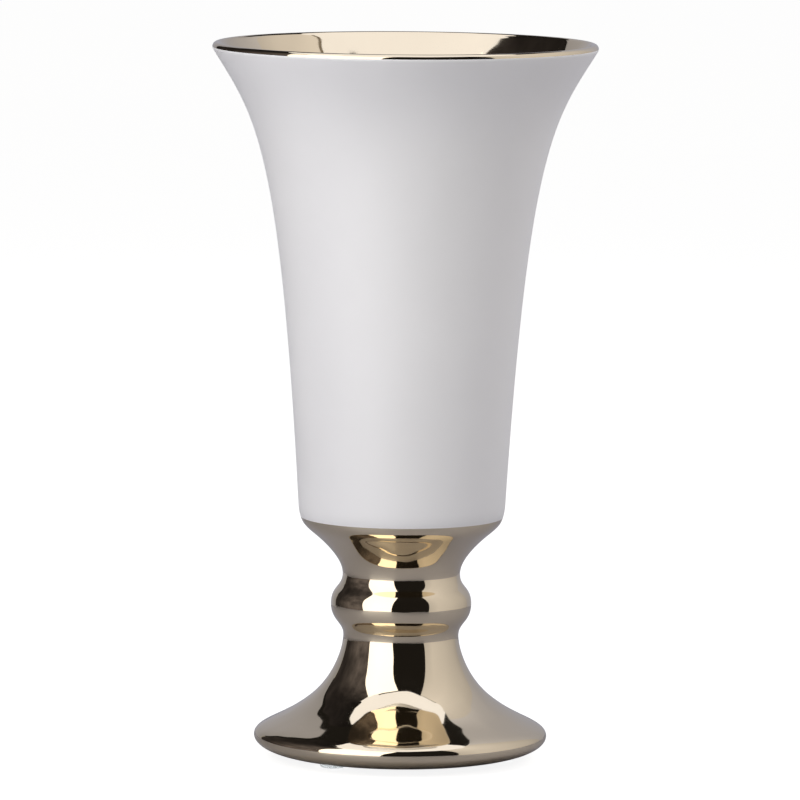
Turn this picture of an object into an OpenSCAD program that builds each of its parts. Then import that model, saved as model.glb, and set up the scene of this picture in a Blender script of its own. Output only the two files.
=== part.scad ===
// Trumpet vase on a gilded pedestal, in glazed porcelain.
// Two hollow castings, the bowl and the pedestal, are luted together at the shoulder and coated:
// satin white on the bowl's wall, gold inside it and over its lip, and gold on the pedestal.
// The origin is on the table, on the axis, and +Z is up. Everything is in millimetres.

/* [Overall] */
// Height from the table to the top of the lip
overall_h = 310; // [270:1:380]

/* [Bowl] */
// Widest diameter, round the lip
rim_d = 166.2; // [132:0.2:200]
// Lean of the wall where it reaches the lip, in degrees from upright
rim_lean = 32; // [20:1:42]
// Diameter of the wall just above its heel
wall_foot_d = 89.6; // [74:0.2:108]
// Lean of the wall just above its heel, in degrees from upright
wall_foot_lean = 3.3; // [0:0.1:8]
// Height of the heel, the soft turn between the shoulder and the wall
heel_h = 6; // [4:0.5:10]
// Thickness of the wall with its coats, which is also the thickness of the lip
bowl_wall = 4; // [3.2:0.1:6]
// Thickness of the floor with its coat, at the axis
bowl_floor = 6; // [4.5:0.5:9]

/* [Pedestal] */
// Height of the shoulder, where the white glaze meets the gold
shoulder_h = 105; // [98:0.5:120]
// Diameter at the shoulder
shoulder_d = 87.7; // [78:0.1:100]
// Height of the upper neck
upper_neck_h = 80.2; // [77:0.1:84]
// Diameter of the upper neck
upper_neck_d = 50.8; // [42:0.2:56]
// Height of the middle of the knop
knop_h = 67; // [65:0.1:69]
// Diameter of the knop
knop_d = 60.9; // [57:0.1:72]
// Height of the lower neck
lower_neck_h = 53.4; // [50:0.1:57]
// Diameter of the lower neck
lower_neck_d = 49.9; // [42:0.1:55]
// Height of the widest part of the foot
foot_edge_h = 9.7; // [8.5:0.1:12]
// Diameter of the foot
foot_d = 127; // [114:0.5:150]
// Diameter of the flat base
base_d = 98; // [94:0.5:104]
// Thickness of the pedestal's wall with its coat
pedestal_wall = 5.2; // [4:0.1:6.5]
// Thickness of the pedestal's base
base_floor = 5; // [4:0.5:6]
// Diameter of the hole in the base that lets air out in the kiln
vent_d = 9; // [6:0.5:12]

/* [Luted joint] */
// Thickness of the fired slip between the bowl and the pedestal
slip_t = 0.8; // [0.4:0.1:1.5]
// Width of the pedestal's rim, which the slip covers
seat_w = 9.5; // [6:0.5:11]
// Length of the ring under the bowl that centres it in the pedestal
spigot_l = 4; // [2.5:0.5:6]
// Thickness of that ring
spigot_wall = 4; // [3:0.5:6]
// Gap between that ring and the pedestal
spigot_gap = 0.3; // [0.2:0.1:0.8]

/* [Coats] */
// Thickness of the satin white glaze
glaze_t = 0.4; // [0.3:0.05:0.6]
// Thickness of the gilded glaze
gold_t = 0.4; // [0.3:0.05:0.6]

/* [Bumper pads] */
// Diameter of a pad
pad_d = 11; // [8:0.5:12.5]
// Height of a pad with its adhesive
pad_h = 2; // [1.6:0.1:3]
// Radius of a pad's lower edge
pad_edge_r = 1; // [0.4:0.1:1.2]
// Thickness of the adhesive disc on a pad
adhesive_t = 0.2; // [0.2:0.05:0.4]
// Distance of the pads from the axis
pad_place_r = 42.2; // [38:0.2:43]
// Direction of the first pad, in degrees from +X
pad_first_angle = 227; // [180:1:300]

/* [Hidden] */
$fn = 128;
short_steps = 14;
wall_steps = 36;
arc_step = 15;
white = [0.93, 0.92, 0.91];
gold = [0.83, 0.74, 0.62];
biscuit = [0.95, 0.94, 0.91];
milky = [0.85, 0.88, 0.88];

// The outline's knots, as [radius, height]
base_edge = [base_d / 2, pad_h];
foot_edge = [foot_d / 2, foot_edge_h];
lower_neck = [lower_neck_d / 2, lower_neck_h];
knop_edge = [knop_d / 2, knop_h];
upper_neck = [upper_neck_d / 2, upper_neck_h];
shoulder = [shoulder_d / 2, shoulder_h];
wall_foot = [wall_foot_d / 2, shoulder_h + heel_h];
// Where the foot's rounded crown runs into its hollow flare, and where the hollow under the shoulder
// runs into its slope
flare_join = lower_neck + [(foot_edge[0] - lower_neck[0]) * 3 / 8, (foot_edge[1] - lower_neck[1]) * 5 / 8];
slope_top = upper_neck + (shoulder - upper_neck) * 3 / 4;
// The lip is half a circle across the wall
lip_r = bowl_wall / 2;
lip_centre = [rim_d / 2 - lip_r, overall_h - lip_r];
lip_start = lip_centre + lip_r * [cos(rim_lean), -sin(rim_lean)];

// The stretches of the outside from the base to the lip. Each is a smooth curve, given as
// [start, lean, pull, end, lean, pull]. A lean is in degrees from upright, positive outwards.
// A pull says how long the curve keeps that lean, as a share of the straight distance from start to end.
shoulder_lean = 16;
foot_under = [base_edge, 83, 0.55, foot_edge, 0, 0.23];
foot_crown = [foot_edge, 0, 0.175, flare_join, -51, 0.57];
foot_flare = [flare_join, -51, 0.44, lower_neck, 0, 0.19];
knop_lower = [lower_neck, 0, 0.37, knop_edge, 0, 0.51];
knop_upper = [knop_edge, 0, 0.53, upper_neck, 0, 0.45];
slope = [upper_neck, 0, 0.34, slope_top, 50, 0.08];
shoulder_turn = [slope_top, 50, 0.6, shoulder, shoulder_lean, 0.26];
heel = [shoulder, shoulder_lean, 0.33, wall_foot, wall_foot_lean, 0.41];
wall = [wall_foot, wall_foot_lean, 0.785, lip_start, rim_lean, 0.172];

// Where the inside of the bowl leaves its wall to round down to its floor, as a share of the wall's curve
floor_round_share = 0.03;
floor_top_h = shoulder_h + bowl_floor;
seat_h = shoulder_h - slip_t;
socket_r = shoulder[0] - seat_w;
spigot_r = socket_r - spigot_gap;
spigot_end_h = seat_h - spigot_l;
base_top_h = pad_h + base_floor;
// Radius of the hollow in the foot, at its floor
cavity_r = foot_edge[0] - 3 / 2 * pedestal_wall;
pads = 3;

function heading(lean) = [sin(lean), cos(lean)];
function tail(points) = [for (i = [1 : len(points) - 1]) points[i]];
function all_but_last(points) = [for (i = [0 : len(points) - 2]) points[i]];
function reversed(points) = [for (i = [len(points) - 1 : -1 : 0]) points[i]];

// The point at share t of a stretch, moved inwards by inset at right angles to it
function point_on(stretch, inset, t) =
    let (a = stretch[0],
         b = stretch[3],
         p = a + stretch[2] * norm(b - a) * heading(stretch[1]),
         q = b - stretch[5] * norm(b - a) * heading(stretch[4]),
         u = 1 - t,
         on_curve = u * u * u * a + 3 * u * u * t * p + 3 * u * t * t * q + t * t * t * b,
         along = u * u * (p - a) + 2 * u * t * (q - p) + t * t * (b - q))
    on_curve + inset * [-along[1], along[0]] / norm(along);

function points_on(stretch, inset, steps = short_steps, from = 0) =
    [for (i = [0 : steps]) point_on(stretch, inset, from + (1 - from) * i / steps)];

function arc(centre, r, from, to) =
    let (steps = ceil(abs(to - from) / arc_step))
    [for (i = [0 : steps]) let (a = from + (to - from) * i / steps) centre + r * [cos(a), sin(a)]];

// Both coats and both castings end level at the shoulder
function shoulder_end(inset) = [shoulder - [inset / cos(shoulder_lean), 0]];
function stem(inset) =
    concat(points_on(foot_flare, inset), tail(points_on(knop_lower, inset)),
           tail(points_on(knop_upper, inset)), tail(points_on(slope, inset)),
           tail(points_on(shoulder_turn, inset)));
function pedestal_outside(inset) =
    concat(points_on(foot_under, inset), tail(points_on(foot_crown, inset)), tail(all_but_last(stem(inset))),
           shoulder_end(inset));
function bowl_outside(inset) =
    concat(shoulder_end(inset), tail(points_on(heel, inset)), tail(points_on(wall, inset, wall_steps)));
function lip(r, from, to) = arc(lip_centre, r, from, to);

// The inside of the bowl, from the axis to the lip, at a depth behind the white surface: a flat floor,
// a round that starts halfway out, and the wall
function bowl_inside(depth, floor_h) =
    let (side = point_on(wall, depth, floor_round_share),
         floor_round = [[side[0] / 2, floor_h], 90, 0.4, side, wall_foot_lean, 0.2])
    concat([[0, floor_h]], points_on(floor_round, 0),
           tail(points_on(wall, depth, wall_steps, floor_round_share)));

// A ring between two curves that run the same way
module coat_ring(outer, inner) {
    rotate_extrude()
        polygon(concat(outer, reversed(inner)));
}

// The cast bowl: a thin flared wall, a floor, and a centring ring that drops into the pedestal
module trumpet_bowl() {
    centring_ring = [[0, shoulder_h], [spigot_r - spigot_wall, shoulder_h],
                     [spigot_r - spigot_wall, spigot_end_h], [spigot_r, spigot_end_h],
                     [spigot_r, shoulder_h]];
    bare_lip = lip(lip_r - gold_t, -rim_lean, 180 - rim_lean);
    bare_inside = bowl_inside(bowl_wall - gold_t, floor_top_h - gold_t);
    color(biscuit)
        rotate_extrude()
            polygon(concat(centring_ring, bowl_outside(glaze_t), tail(bare_lip),
                           tail(reversed(bare_inside))));
}

// Half the section of the hollow in the pedestal. It follows the wall, but above the upper neck it is
// never wider than the socket for the centring ring, so the rim keeps its width for the slip.
module hollow_section() {
    intersection() {
        polygon(concat([[0, base_top_h], [cavity_r, base_top_h]], stem(pedestal_wall),
                       [[0, shoulder_h + heel_h]]));
        union() {
            square([foot_d, upper_neck_h]);
            square([socket_r, shoulder_h + heel_h]);
        }
    }
}

// Half the section of the pedestal between two heights, hollow and open at the top
module pedestal_section(from_h, to_h) {
    intersection() {
        difference() {
            polygon(concat([[0, pad_h], base_edge], pedestal_outside(gold_t), [[0, shoulder_h]]));
            hollow_section();
            translate([0, spigot_end_h - spigot_gap])
                square([socket_r, spigot_l + slip_t + spigot_gap + heel_h]);
            square([vent_d / 2, base_top_h + 1]);
        }
        translate([0, from_h])
            square([foot_d, to_h - from_h]);
    }
}

// The cast pedestal: a hollow stem and foot, closed below by a base with an air hole
module pedestal() {
    color(biscuit)
        rotate_extrude()
            pedestal_section(0, seat_h);
}

// Fired slip between the pedestal's rim and the bowl's underside
module luting_ring() {
    color(biscuit)
        rotate_extrude()
            pedestal_section(seat_h, shoulder_h);
}

// Satin white glaze on the outside of the bowl, up to the widest part of the lip
module white_glaze() {
    color(white)
        coat_ring(concat(bowl_outside(0), tail(lip(lip_r, -rim_lean, 0))),
                  concat(bowl_outside(glaze_t), tail(lip(lip_r - glaze_t, -rim_lean, 0))));
}

// Gold over the lip and all over the inside of the bowl
module gilded_lining() {
    color(gold)
        coat_ring(concat(lip(lip_r, 0, 180 - rim_lean), tail(reversed(bowl_inside(bowl_wall, floor_top_h)))),
                  concat(lip(lip_r - gold_t, 0, 180 - rim_lean),
                         tail(reversed(bowl_inside(bowl_wall - gold_t, floor_top_h - gold_t)))));
}

// Gold on the outside of the pedestal, from under the foot's edge to the shoulder
module pedestal_gilding() {
    color(gold)
        coat_ring(pedestal_outside(0), pedestal_outside(gold_t));
}

// Puts its children at one of the pads' places, evenly spaced round the base
module at_pad(number) {
    rotate([0, 0, pad_first_angle + (number - 1) * 360 / pads])
        translate([pad_place_r, 0, 0])
            children();
}

// A soft clear pad with a rounded lower edge
module bumper_pad(number) {
    color(milky)
        at_pad(number)
            rotate_extrude()
                polygon(concat([[0, 0]], arc([pad_d / 2 - pad_edge_r, pad_edge_r], pad_edge_r, -90, 0),
                               [[pad_d / 2, pad_h - adhesive_t], [0, pad_h - adhesive_t]]));
}

// The adhesive between a pad and the base
module pad_adhesive(number) {
    color(milky)
        at_pad(number)
            translate([0, 0, pad_h - adhesive_t])
                cylinder(d = pad_d, h = adhesive_t);
}

trumpet_bowl();
pedestal();
luting_ring();
white_glaze();
gilded_lining();
pedestal_gilding();
bumper_pad(1);  // bumper_pad_1
bumper_pad(2);  // bumper_pad_2
bumper_pad(3);  // bumper_pad_3
pad_adhesive(1);  // pad_adhesive_1
pad_adhesive(2);  // pad_adhesive_2
pad_adhesive(3);  // pad_adhesive_3
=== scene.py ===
# %% [markdown]
# # A trumpet vase in white and gold porcelain
# The imported model gives us the vase as a fixed frame: its places, its sizes and its twelve pieces. We load
# it first.

# %% Load the frame
import math

import bmesh
import bpy
from mathutils import Matrix, Vector


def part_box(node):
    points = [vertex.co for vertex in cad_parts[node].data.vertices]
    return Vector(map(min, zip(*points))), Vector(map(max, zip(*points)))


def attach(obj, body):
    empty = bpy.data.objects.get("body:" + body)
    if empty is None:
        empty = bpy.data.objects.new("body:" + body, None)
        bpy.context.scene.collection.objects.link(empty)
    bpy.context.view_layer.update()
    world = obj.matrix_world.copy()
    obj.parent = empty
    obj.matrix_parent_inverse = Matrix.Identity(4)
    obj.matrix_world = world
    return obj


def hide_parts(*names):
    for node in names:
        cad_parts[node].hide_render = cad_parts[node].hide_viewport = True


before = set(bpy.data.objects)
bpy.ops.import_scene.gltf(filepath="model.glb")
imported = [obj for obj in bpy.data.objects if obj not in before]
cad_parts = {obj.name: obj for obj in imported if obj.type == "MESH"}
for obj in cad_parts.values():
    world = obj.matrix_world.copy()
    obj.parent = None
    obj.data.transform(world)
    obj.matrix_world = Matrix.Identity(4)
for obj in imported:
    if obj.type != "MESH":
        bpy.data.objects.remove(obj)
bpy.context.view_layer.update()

# %% [markdown]
# ## Where the sizes come from
# Every size that we need is measured on the frame's own pieces. The white glaze runs from the shoulder, where
# the bowl was luted to the pedestal, up to the lip, and the middle of the bowl is where the lamps will aim.

# %% Measure the frame
shoulder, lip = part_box("white_glaze")
bowl_middle = (shoulder.z + lip.z) / 2
print(f"shoulder {shoulder.z * 1000:.1f}, lip {lip.z * 1000:.1f}, middle {bowl_middle * 1000:.1f} mm high")


# %% [markdown]
# Every piece that we make ends in the same way: a mesh in an object at the origin, with its place in its
# points, that rides on the vase's one body.

# %% Finish a piece
def finish_piece(bm, name):
    mesh = bpy.data.meshes.new(name)
    bm.to_mesh(mesh)
    bm.free()
    piece = bpy.data.objects.new(name, mesh)
    bpy.context.scene.collection.objects.link(piece)
    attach(piece, "root")
    return piece


# %% [markdown]
# ## Turning a coat from its outline
# The glaze and the gold are thin coats on a shape that was turned on a wheel. Mirror gold shows every flat
# in a mesh, so the coats are turned again here, finer than the frame's triangles. We could draw the outline
# a second time, but then it could drift from the frame. Instead we cut the frame's own piece with a plane
# through the axis, keep one side of the cut, and spin that outline once round the axis. A copy of the piece's
# triangles is merged first, because they come loose, and an edge on the axis would spin into nothing.

# %% Cut the outline
CUT_FINENESS = 1e-7
ON_AXIS = 1e-6
SAME_POINT = 2e-6
SAME_OUTLINE_POINT = 1e-5


def cut_outline(node):
    bm = bmesh.new()
    bm.from_mesh(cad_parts[node].data)
    bmesh.ops.remove_doubles(bm, verts=bm.verts, dist=SAME_POINT)
    bmesh.ops.bisect_plane(bm, geom=bm.verts[:] + bm.edges[:] + bm.faces[:], dist=CUT_FINENESS,
                           plane_co=(0, 0, 0), plane_no=(0, 1, 0), clear_inner=True, clear_outer=True)
    other_side = [v for v in bm.verts if v.co.x < -CUT_FINENESS]
    bmesh.ops.delete(bm, geom=other_side, context="VERTS")
    bmesh.ops.remove_doubles(bm, verts=bm.verts, dist=SAME_OUTLINE_POINT)
    on_axis = [e for e in bm.edges if max(v.co.x for v in e.verts) < ON_AXIS]
    bmesh.ops.delete(bm, geom=on_axis, context="EDGES")
    return bm


# %% [markdown]
# After the spin the first and last outlines are merged, and so are the points on the axis, which closes the
# seam and the pole. Then the faces are turned outwards. One level of subdivision rounds the outline
# between its points, and a crease keeps the true corners, where a coat ends against its neighbour. More steps
# in the spin would look no rounder, and the file would be larger.

# %% Spin the outline
SPIN_STEPS = 96
CORNER_ANGLE = math.radians(28)


def turn_coat(name, node):
    bm = cut_outline(node)
    outline_points = len(bm.verts)
    bmesh.ops.spin(bm, geom=bm.verts[:] + bm.edges[:], cent=(0, 0, 0), axis=(0, 0, 1),
                   angle=math.tau, steps=SPIN_STEPS, use_merge=True)
    bmesh.ops.remove_doubles(bm, verts=bm.verts, dist=ON_AXIS)
    bmesh.ops.recalc_face_normals(bm, faces=bm.faces)
    if bm.calc_volume(signed=True) < 0:
        bmesh.ops.reverse_faces(bm, faces=bm.faces)
    crease = bm.edges.layers.float.new("crease_edge")
    for edge in bm.edges:
        if edge.calc_face_angle(0) > CORNER_ANGLE:
            edge[crease] = 1
            edge.smooth = False
    for face in bm.faces:
        face.smooth = True
    volume = bm.calc_volume(signed=True) * 1e9
    open_edges = sum(e.is_boundary for e in bm.edges)
    print(f"{name}: outline of {outline_points} points, {len(bm.faces)} faces")
    print(f"{name}: {volume:.0f} mm3, {open_edges} open edges")
    piece = finish_piece(bm, name)
    rounding = piece.modifiers.new("rounding", "SUBSURF")
    rounding.levels = rounding.render_levels = 1
    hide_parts(node)
    return piece


# %% [markdown]
# Three coats are turned in this way: the white glaze, the gold inside the bowl and over the lip, and the gold
# on the pedestal. On the real vase the gold is brushed on over a fired glaze and fired once more.

# %% Turn the three coats
glaze_coat = turn_coat("glaze_coat", "white_glaze")
gold_lining = turn_coat("gold_lining", "gilded_lining")
gold_pedestal = turn_coat("gold_pedestal", "pedestal_gilding")


# %% [markdown]
# ## The clear bumper pads
# Three soft pads keep the hard base off the table. A moulded pad has straight sides, a generous round at
# its lower edge and a faint dish in its face. We extrude a disc, bevel its lower edge, and inset the face in
# three rings, each pushed up a little, for the dish. A sphere cut flat would be quicker, but these pads have
# straight sides.

# %% Mould a pad
PAD_SEGMENTS = 56
EDGE_ROUND_SHARE = 0.55
EDGE_ROUND_STEPS = 5
DISH_RINGS = (0.1375, 0.1925, 0.22)
DISH_STEP_SHARE = 0.04


def bumper_pad(name, node):
    low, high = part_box(node)
    centre = (low + high) / 2
    radius = (high.x - low.x) / 2
    height = high.z - low.z
    bm = bmesh.new()
    bmesh.ops.create_circle(bm, cap_ends=True, segments=PAD_SEGMENTS, radius=radius)
    side = bmesh.ops.extrude_face_region(bm, geom=bm.faces[:])
    lower = [v for v in side["geom"] if isinstance(v, bmesh.types.BMVert)]
    bmesh.ops.translate(bm, verts=lower, vec=(0, 0, -height))
    rim = [e for e in bm.edges if all(v.co.z < -height / 2 for v in e.verts)]
    bmesh.ops.bevel(bm, geom=rim, offset=height * EDGE_ROUND_SHARE, affect="EDGES",
                    segments=EDGE_ROUND_STEPS, profile=0.5, material=-1)
    face = min(bm.faces, key=lambda f: f.calc_center_median().z)
    for ring_share in DISH_RINGS:
        bmesh.ops.inset_region(bm, faces=[face], thickness=radius * ring_share)
        bmesh.ops.translate(bm, verts=face.verts, vec=(0, 0, height * DISH_STEP_SHARE))
    bmesh.ops.recalc_face_normals(bm, faces=bm.faces)
    bmesh.ops.translate(bm, verts=bm.verts, vec=(centre.x, centre.y, high.z))
    for each in bm.faces:
        each.smooth = True
    print(f"{name}: {radius * 2000:.1f} mm across, {height * 1000:.2f} mm high, {len(bm.faces)} faces")
    piece = finish_piece(bm, name)
    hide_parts(node)
    return piece


PAD_NUMBERS = (1, 2, 3)
pads = [bumper_pad(f"soft_pad_{number}", f"bumper_pad_{number}") for number in PAD_NUMBERS]


# %% [markdown]
# ## Node helpers
# One helper starts a material and finds its shader, and one adds a node and sets its values by name, so that
# the materials below read like recipes.

# %% Node helpers
def new_material(name):
    material = bpy.data.materials.new(name)
    material.use_nodes = True
    tree = material.node_tree
    shader = next(n for n in tree.nodes if n.type == "BSDF_PRINCIPLED")
    return material, tree, shader


def add(tree, kind, **values):
    node = tree.nodes.new(kind)
    for key, value in values.items():
        if key in node.inputs:
            node.inputs[key].default_value = value
        else:
            setattr(node, key, value)
    return node


# %% [markdown]
# ## A shared effect: fired unevenness
# A fired surface is never quite even. Broad soft clouds vary its tone, and small waves vary its height.
# Both the glaze and the gold need this, so it is one group, with a scale for each noise and two outputs.

# %% The unevenness group
def make_unevenness():
    group = bpy.data.node_groups.new("fired_unevenness", "ShaderNodeTree")
    group.interface.new_socket("Cloud Scale", in_out="INPUT", socket_type="NodeSocketFloat")
    group.interface.new_socket("Wave Scale", in_out="INPUT", socket_type="NodeSocketFloat")
    group.interface.new_socket("Clouds", in_out="OUTPUT", socket_type="NodeSocketFloat")
    group.interface.new_socket("Waves", in_out="OUTPUT", socket_type="NodeSocketFloat")
    inputs = group.nodes.new("NodeGroupInput")
    outputs = group.nodes.new("NodeGroupOutput")
    place = group.nodes.new("ShaderNodeTexCoord")
    clouds = add(group, "ShaderNodeTexNoise", Detail=3.0, Roughness=0.5)
    waves = add(group, "ShaderNodeTexNoise", Detail=1.0, Roughness=0.4)
    for noise, scale, out in ((clouds, "Cloud Scale", "Clouds"), (waves, "Wave Scale", "Waves")):
        group.links.new(place.outputs["Object"], noise.inputs["Vector"])
        group.links.new(inputs.outputs[scale], noise.inputs["Scale"])
        group.links.new(noise.outputs["Fac"], outputs.inputs[out])
    print("group", group.name, "with", len(group.nodes), "nodes")
    return group


fired_unevenness = make_unevenness()


def add_unevenness(tree, cloud_scale, wave_scale):
    node = tree.nodes.new("ShaderNodeGroup")
    node.node_tree = fired_unevenness
    node.inputs["Cloud Scale"].default_value = cloud_scale
    node.inputs["Wave Scale"].default_value = wave_scale
    return node


# %% [markdown]
# The clouds then feed a colour or a value, and the waves feed a bump. A ramp between two close tones is the
# simplest way to do it, and a range does the same for roughness. A noise seldom leaves the middle of its
# range, so both start and end there.

# %% Tone and roughness from clouds
NOISE_LOW = 0.3
NOISE_HIGH = 0.7


def vary_colour(tree, source, low, high, socket):
    ramp = tree.nodes.new("ShaderNodeValToRGB")
    ends = ramp.color_ramp.elements
    for end, position, colour in ((ends[0], NOISE_LOW, low), (ends[1], NOISE_HIGH, high)):
        end.position = position
        end.color = (*colour, 1)
    tree.links.new(source, ramp.inputs["Fac"])
    tree.links.new(ramp.outputs["Color"], socket)


def vary_value(tree, source, low, high, socket):
    spread = add(tree, "ShaderNodeMapRange")
    values = {"From Min": NOISE_LOW, "From Max": NOISE_HIGH, "To Min": low, "To Max": high}
    for key, value in values.items():
        spread.inputs[key].default_value = value
    tree.links.new(source, spread.inputs["Value"])
    tree.links.new(spread.outputs["Result"], socket)


def add_bump(tree, height, strength, distance, shader):
    bump = add(tree, "ShaderNodeBump", Strength=strength, Distance=distance)
    tree.links.new(height, bump.inputs["Height"])
    tree.links.new(bump.outputs["Normal"], shader.inputs["Normal"])


# %% [markdown]
# ## Satin white glaze
# The bowl's outside is a white glaze with a soft sheen: bright, near neutral and almost without mirror
# images. A matte surface with a coat of varnish would show lamps in the coat. A roughness near 0.4 gives the
# sheen alone.

# %% Glaze
satin_white, tree, shader = new_material("satin_white_glaze")
uneven = add_unevenness(tree, 18.0, 55.0)
clouds, waves = uneven.outputs["Clouds"], uneven.outputs["Waves"]
vary_colour(tree, clouds, (0.86, 0.855, 0.86), (0.89, 0.885, 0.89), shader.inputs["Base Color"])
vary_value(tree, clouds, 0.38, 0.46, shader.inputs["Roughness"])
add_bump(tree, waves, 0.15, 0.0004, shader)
glaze_coat.data.materials.append(satin_white)
print(satin_white.name, "on", glaze_coat.name)

# %% [markdown]
# ## Gold lustre
# The gold is a film over a smooth glaze, so it is a mirror with a champagne tint. We could paint the light
# and dark areas that it shows, but they would stay in place when the view turns. A metal shows what stands
# round it, and its colour is its Base Color. The waves make the mirror images wander a little.

# %% Gold
champagne_gold, tree, shader = new_material("gold_lustre")
shader.inputs["Metallic"].default_value = 1.0
uneven = add_unevenness(tree, 22.0, 48.0)
clouds, waves = uneven.outputs["Clouds"], uneven.outputs["Waves"]
vary_colour(tree, clouds, (0.89, 0.765, 0.555), (0.91, 0.785, 0.575), shader.inputs["Base Color"])
vary_value(tree, clouds, 0.03, 0.06, shader.inputs["Roughness"])
add_bump(tree, waves, 0.7, 0.001, shader)
for coat in (gold_lining, gold_pedestal):
    coat.data.materials.append(champagne_gold)
    print(champagne_gold.name, "on", coat.name)

# %% [markdown]
# ## Bare porcelain
# The bare body only shows under the foot, where the kiln shelf would stick to a glaze. It is matte with a
# fine grain. Both castings and the slip between them keep the frame's own meshes, because only a flat base
# can be seen of them.

# %% Bare porcelain
bare_porcelain, tree, shader = new_material("biscuit_porcelain")
uneven = add_unevenness(tree, 60.0, 900.0)
clouds, waves = uneven.outputs["Clouds"], uneven.outputs["Waves"]
vary_colour(tree, clouds, (0.76, 0.74, 0.69), (0.84, 0.82, 0.78), shader.inputs["Base Color"])
vary_value(tree, clouds, 0.7, 0.85, shader.inputs["Roughness"])
add_bump(tree, waves, 0.4, 0.0002, shader)


def dress_node(node, material):
    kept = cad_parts[node]
    kept.data.materials.clear()
    kept.data.materials.append(material)
    print(material.name, "on", node)


for node in ("trumpet_bowl", "pedestal", "luting_ring"):
    dress_node(node, bare_porcelain)

# %% [markdown]
# ## Clear pads
# A bumper pad is soft and slightly milky: part of the light goes through it, and part of it is scattered
# inside and comes out everywhere. We could trace that scattering in a pad 2 mm high. The faint glow that
# follows the clouds is painted light instead: it stands in for the light that a bright table would pipe into
# the pad, which the pale floor, hidden from soft light, doesn't give. The film of adhesive behind each pad
# is of the same clear kind, with the same painted glow.

# %% Clear pads
clear_pad_painted_glow, tree, shader = new_material("clear_bumper")
shader.inputs["Transmission Weight"].default_value = 0.5
shader.inputs["IOR"].default_value = 1.12
# Painted glow: a faint emission that stands in for the light a bright table would pipe into the pad.
shader.inputs["Emission Strength"].default_value = 0.135
uneven = add_unevenness(tree, 300.0, 700.0)
clouds, waves = uneven.outputs["Clouds"], uneven.outputs["Waves"]
for socket in ("Base Color", "Emission Color"):
    vary_colour(tree, clouds, (0.90, 0.93, 0.94), (0.96, 0.98, 0.98), shader.inputs[socket])
vary_value(tree, clouds, 0.22, 0.34, shader.inputs["Roughness"])
add_bump(tree, waves, 0.2, 0.0001, shader)
for number, pad in zip(PAD_NUMBERS, pads):
    pad.data.materials.append(clear_pad_painted_glow)
    dress_node(f"pad_adhesive_{number}", clear_pad_painted_glow)


# %% [markdown]
# ## The studio
# A mirror shows the room, so half of the look of gold is what stands round it. We could light the vase with
# lamps, but a lamp's mirror image is a small bright patch. Studios use large boards instead. Where a board
# stands is given as it would be paced out from the vase: the direction in degrees (0 is towards the camera,
# 90 is to the vase's right), how far away, and how high.

# %% Stage helpers
def stage_mesh(bm, name, material):
    mesh = bpy.data.meshes.new(name)
    bm.to_mesh(mesh)
    bm.free()
    mesh.materials.append(material)
    thing = bpy.data.objects.new(name, mesh)
    bpy.context.scene.collection.objects.link(thing)
    return thing


def paced_out(direction, distance, height):
    turn = math.radians(direction)
    return Vector((math.sin(turn) * distance, -math.cos(turn) * distance, height))


def disc(bm, radius, height=0.0):
    bmesh.ops.create_circle(bm, cap_ends=True, segments=64, radius=radius)
    bmesh.ops.translate(bm, verts=bm.verts, vec=(0, 0, height))


# %% [markdown]
# A board and the ceiling are cloth with light behind it, so their material only glows: it is black, it has no
# sheen of its own, and its glow is uneven. The camera looks past them, so they are hidden from it, and they
# cast no shadows.

# %% Lit cloth
FOLD_SCALE = 3.0


def lit_cloth(name, patch_scale):
    material, tree, shader = new_material(name)
    shader.inputs["Base Color"].default_value = (0, 0, 0, 1)
    shader.inputs["Specular IOR Level"].default_value = 0.0
    shader.inputs["Emission Strength"].default_value = 1.0
    uneven = add_unevenness(tree, patch_scale, FOLD_SCALE)
    return material, tree, uneven.outputs["Clouds"], shader.inputs["Emission Color"]


def hide_from_camera(thing):
    thing.visible_camera = False
    thing.visible_shadow = False


# %% [markdown]
# Real boards are never evenly lit: they fade from one side to the other and from foot to top. So a board here
# is a row of posts with cloth between them, bent round the vase at one distance. Each post has the direction
# of its foot, the direction and the height of its top, and how bright the cloth is at its foot and at its
# top. Between two posts everything changes evenly, in small steps.

# %% Points of a board
BOARD_STEPS = 6
SHARES = [step / BOARD_STEPS for step in range(BOARD_STEPS + 1)]


def between(start, end, share):
    return start + (end - start) * share


def post_points(bm, tone, distance, low, post):
    foot_direction, top_direction, high, glow_low, glow_high = post
    points = []
    for share in SHARES:
        direction = between(foot_direction, top_direction, share)
        point = bm.verts.new(paced_out(direction, distance, between(low, high, share)))
        point[tone] = [between(glow_low, glow_high, share)] * 3 + [1]
        points.append(point)
    return points


# %% [markdown]
# The cloth joins each row of points to the next. How bright it is at each point goes into a colour attribute
# called glow, which the material multiplies by the cloth's tint. One flat tone a board would be simpler, but
# gold shows its hard edges.

# %% Board
def board(name, tint, distance, low, posts, patch_scale=1.5, darkest=0.95):
    material, tree, clouds, emission = lit_cloth(name, patch_scale)
    glow = add(tree, "ShaderNodeAttribute", attribute_name="glow")
    cloth = add(tree, "ShaderNodeMix", data_type="RGBA", blend_type="MULTIPLY", Factor=1.0)
    vary_colour(tree, clouds, [c * darkest for c in tint], tint, cloth.inputs["A"])
    tree.links.new(glow.outputs["Color"], cloth.inputs["B"])
    tree.links.new(cloth.outputs["Result"], emission)

    bm = bmesh.new()
    tone = bm.verts.layers.float_color.new("glow")
    rows = []
    for start, end in zip(posts, posts[1:]):
        for share in SHARES:
            post = [between(a, b, share) for a, b in zip(start, end)]
            rows.append(post_points(bm, tone, distance, low, post))
    for left, right in zip(rows, rows[1:]):
        for k in range(BOARD_STEPS):
            bm.faces.new((left[k], right[k], right[k + 1], left[k + 1]))
    bmesh.ops.remove_doubles(bm, verts=bm.verts, dist=ON_AXIS)
    print(f"{name}: {len(posts)} posts, {len(bm.faces)} faces, {distance} m away")
    hide_from_camera(stage_mesh(bm, name, material))


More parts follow.
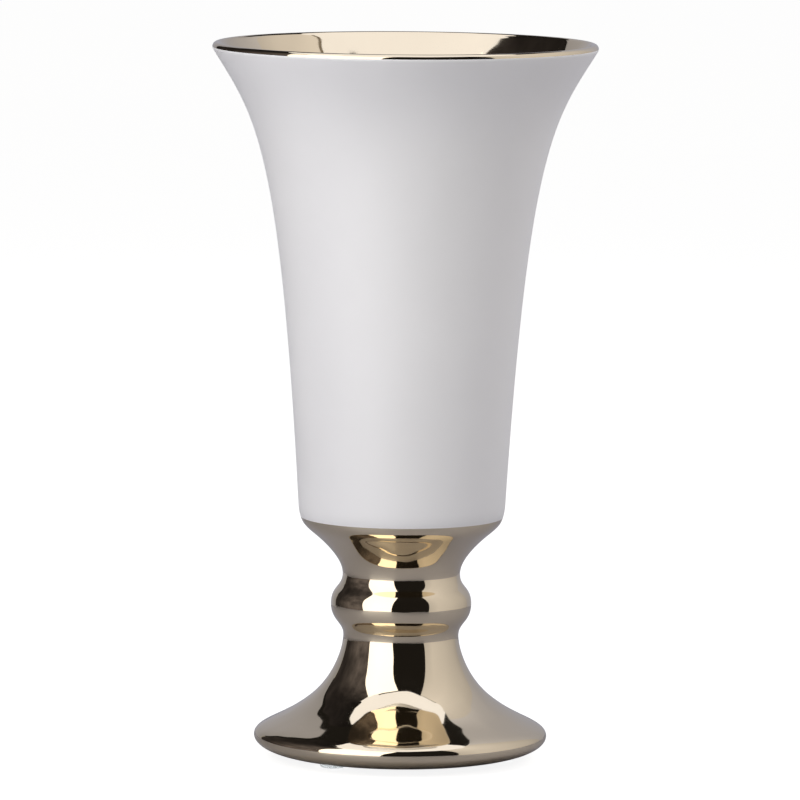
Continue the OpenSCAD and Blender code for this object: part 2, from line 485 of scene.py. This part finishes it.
# %% [markdown]
# In front of the vase are a softbox, to the left of the camera, and a black screen across the camera's place.
# A narrow dark valance keeps the softbox apart from the ceiling. The gold shows them as a bright and a dark
# upright band.

# %% Boards in front
LOW = 0.002
FRONT = 0.55
SCREEN_TOP = 1.145

board("softbox", (1.0, 0.99, 1.0), FRONT, LOW,
      [(-62, -77, 1.01, 1.78, 1.70), (-45, -50, 1.06, 1.86, 1.78), (-15, -8, 1.08, 1.78, 1.70)])
board("valance", (1.0, 0.9, 0.8), FRONT, 1.08,
      [(-52, -52, SCREEN_TOP, 0.1, 0.1), (-8, -8, SCREEN_TOP, 0.05, 0.05)])
board("black_screen", (1.0, 0.9, 0.85), FRONT, LOW,
      [(-15, -8, SCREEN_TOP, 0.012, 0.012), (44, 58, SCREEN_TOP, 0.012, 0.012)])

# %% [markdown]
# One long sweep of pale paper goes from the right to the back, where it gets lower and darker. Its upper hem
# is a thin dark seam.

# %% Sweep on the right
RIGHT = 0.444
SWEEP_TOP = 0.888
SEAM_TOP = SWEEP_TOP + 0.018

board("pale_sweep", (1.0, 0.97, 1.0), RIGHT, LOW,
      [(44, 56, SWEEP_TOP, 0.52, 0.74), (62, 68, SWEEP_TOP, 0.64, 0.75), (90, 90, SWEEP_TOP, 0.57, 0.80),
       (120, 120, SWEEP_TOP, 0.45, 0.74), (135, 134, 0.77, 0.36, 0.62)])
board("sweep_seam", (1.0, 0.85, 0.7), RIGHT, SWEEP_TOP,
      [(56, 56, SEAM_TOP, 0.15, 0.15), (95, 95, SEAM_TOP, 0.2, 0.2)])
board("pale_sweep_back", (0.97, 0.98, 1.12), RIGHT, LOW,
      [(135, 134, 0.77, 0.36, 0.62), (150, 150, 0.60, 0.35, 0.46), (165, 165, 0.53, 0.37, 0.40),
       (195, 195, 0.535, 0.40, 0.38), (210, 205, 0.54, 0.36, 0.36), (228, 211, 0.54, 0.27, 0.35)])

# %% [markdown]
# On the left is the dark side of the room, with larger patches, and dark cloth hangs behind everything.

# %% Dark side
LEFT = 0.57
BEHIND = 0.6
WALL_TOP = 1.01
DRAPE_LOW = 0.2
DRAPE_TOP = 1.12

board("dark_wall_left", (1.3, 1.15, 1.2), LEFT, LOW,
      [(-133, -150, WALL_TOP, 0.04, 0.01), (-120, -125, WALL_TOP, 0.03, 0.01),
       (-104, -106, WALL_TOP, 0.08, 0.01), (-90, -93, WALL_TOP, 0.14, 0.02),
       (-62, -77, WALL_TOP, 0.13, 0.08)], patch_scale=7.0, darkest=0.45)
board("dark_drape", (1.0, 0.92, 0.85), BEHIND, DRAPE_LOW,
      [(118, 118, DRAPE_TOP, 0.012, 0.012), (260, 262, DRAPE_TOP, 0.012, 0.012)])

# %% [markdown]
# A pale ceiling closes the ring of boards above. It is the light patch that the foot and the lining show.

# %% Ceiling
CEILING_RADIUS = 1.0
CEILING_HEIGHT = 1.15

ceiling_white, tree, clouds, emission = lit_cloth("ceiling_white", 1.5)
vary_colour(tree, clouds, (0.97, 0.99, 1.11), (1.07, 1.09, 1.22), emission)
bm = bmesh.new()
disc(bm, CEILING_RADIUS, CEILING_HEIGHT)
hide_from_camera(stage_mesh(bm, "ceiling", ceiling_white))
print("ceiling", CEILING_HEIGHT, "m above the table")

# %% [markdown]
# The boards alone leave the right side of the white bowl too dark. A photographer adds fill from all round
# and keeps it out of the gold, so four soft lamps stand in a ring and don't show in reflections.

# %% Fill lamps
FILL_DISTANCE = 1.4
FILL_HEIGHT = 1.0
FILL_SIZE = 0.6
FILL_COLOUR = (1.0, 0.98, 0.9)
FILL_WATTS = {45: 6.3, 135: 4.1, 225: 4.1, 315: 4.7}


def fill_lamp(name, direction, watts):
    lamp_data = bpy.data.lights.new(name, "AREA")
    lamp_data.shape = "DISK"
    lamp_data.size = FILL_SIZE
    lamp_data.energy = watts
    lamp_data.color = FILL_COLOUR
    lamp = bpy.data.objects.new(name, lamp_data)
    bpy.context.scene.collection.objects.link(lamp)
    place = paced_out(direction, FILL_DISTANCE, FILL_HEIGHT)
    aim = (Vector((0, 0, bowl_middle)) - place).to_track_quat("-Z", "Y")
    lamp.matrix_world = Matrix.Translation(place) @ aim.to_matrix().to_4x4()
    lamp.visible_camera = False
    lamp.visible_glossy = False
    print(f"{name}: {watts} W from {direction} degrees")


for number, (direction, watts) in enumerate(FILL_WATTS.items(), start=1):
    fill_lamp(f"fill_{number}", direction, watts)

# %% [markdown]
# ## Floor and table
# The floor that we see is pale, so that the white vase stands clear of it. The table that the gold sees is
# mid grey. One surface can't be both, so there are two: the pale floor is hidden from reflections and from
# soft light, and the grey table is hidden from the camera.

# %% Floor
FLOOR_RADIUS = 14.0

pale_floor, tree, shader = new_material("pale_floor")
uneven = add_unevenness(tree, 0.8, FOLD_SCALE)
clouds = uneven.outputs["Clouds"]
vary_colour(tree, clouds, (0.30, 0.30, 0.30), (0.31, 0.31, 0.31), shader.inputs["Base Color"])
shader.inputs["Roughness"].default_value = 0.9
shader.inputs["Specular IOR Level"].default_value = 0.0
shader.inputs["Emission Color"].default_value = (1, 1, 1, 1)
shader.inputs["Emission Strength"].default_value = 0.88
bm = bmesh.new()
disc(bm, FLOOR_RADIUS)
floor = stage_mesh(bm, "floor", pale_floor)
floor.visible_glossy = False
floor.visible_diffuse = False
print("floor", FLOOR_RADIUS * 2, "m across")

# %% [markdown]
# The table lies a fifth of a millimetre under the floor, so that the two don't flicker through each other.

# %% Table
TABLE_RADIUS = 3.0
TABLE_HEIGHT = -0.0002

grey_table, tree, shader = new_material("grey_table")
uneven = add_unevenness(tree, 3.0, 9.0)
clouds = uneven.outputs["Clouds"]
vary_colour(tree, clouds, (0.49, 0.49, 0.54), (0.53, 0.53, 0.58), shader.inputs["Base Color"])
shader.inputs["Roughness"].default_value = 0.45
bm = bmesh.new()
disc(bm, TABLE_RADIUS, TABLE_HEIGHT)
hide_from_camera(stage_mesh(bm, "table", grey_table))
print("table", TABLE_RADIUS * 2, "m across")

# %% [markdown]
# The sky of the studio does two jobs. Seen straight on it is the pale backdrop, and to everything else it is
# the dim grey of the far room.

# %% World
ROOM_GREY = (0.34, 0.335, 0.33, 1)
BACKDROP_WHITE = (1, 1, 1, 1)

world = bpy.data.worlds.new("studio")
bpy.context.scene.world = world
world.use_nodes = True
sky = world.node_tree
room = next(n for n in sky.nodes if n.type == "BACKGROUND")
room.inputs["Color"].default_value = ROOM_GREY
backdrop = add(sky, "ShaderNodeBackground", Color=BACKDROP_WHITE)
seen = sky.nodes.new("ShaderNodeLightPath")
choose = sky.nodes.new("ShaderNodeMixShader")
output = next(n for n in sky.nodes if n.type == "OUTPUT_WORLD")
sky.links.new(seen.outputs["Is Camera Ray"], choose.inputs["Fac"])
sky.links.new(room.outputs["Background"], choose.inputs[1])
sky.links.new(backdrop.outputs["Background"], choose.inputs[2])
sky.links.new(choose.outputs["Shader"], output.inputs["Surface"])
print("world", world.name, "with", len(sky.nodes), "nodes")

# %% [markdown]
# ## The camera
# A long lens from a little above the lip shows the vase almost without perspective, as a catalogue does. The
# camera looks down a few degrees, and a hair's turn and roll set the vase upright in the middle of the view.
# The Standard view keeps the white glaze white, where a filmic one would grey it.

# %% Camera
SENSOR_MM = 36.0
LENS_MM = 331.5
CAMERA_DISTANCE = 3.162
CAMERA_HEIGHT = 0.506
LOOK_DOWN = 6.325
TURN = 0.0215
ROLL = 0.4636


def turned(degrees, axis):
    return Matrix.Rotation(math.radians(degrees), 4, axis)


camera_data = bpy.data.cameras.new("long_lens")
camera_data.sensor_width = SENSOR_MM
camera_data.lens = LENS_MM
camera_data.clip_end = 100
camera = bpy.data.objects.new("camera", camera_data)
bpy.context.scene.collection.objects.link(camera)
camera_place = Matrix.Translation(paced_out(0, CAMERA_DISTANCE, CAMERA_HEIGHT))
camera.matrix_world = camera_place @ turned(TURN, "Z") @ turned(90 - LOOK_DOWN, "X") @ turned(ROLL, "Z")
bpy.context.scene.camera = camera
bpy.context.scene.view_settings.view_transform = "Standard"
print(f"camera {CAMERA_DISTANCE} m away, {CAMERA_HEIGHT} m high, {LENS_MM} mm lens")
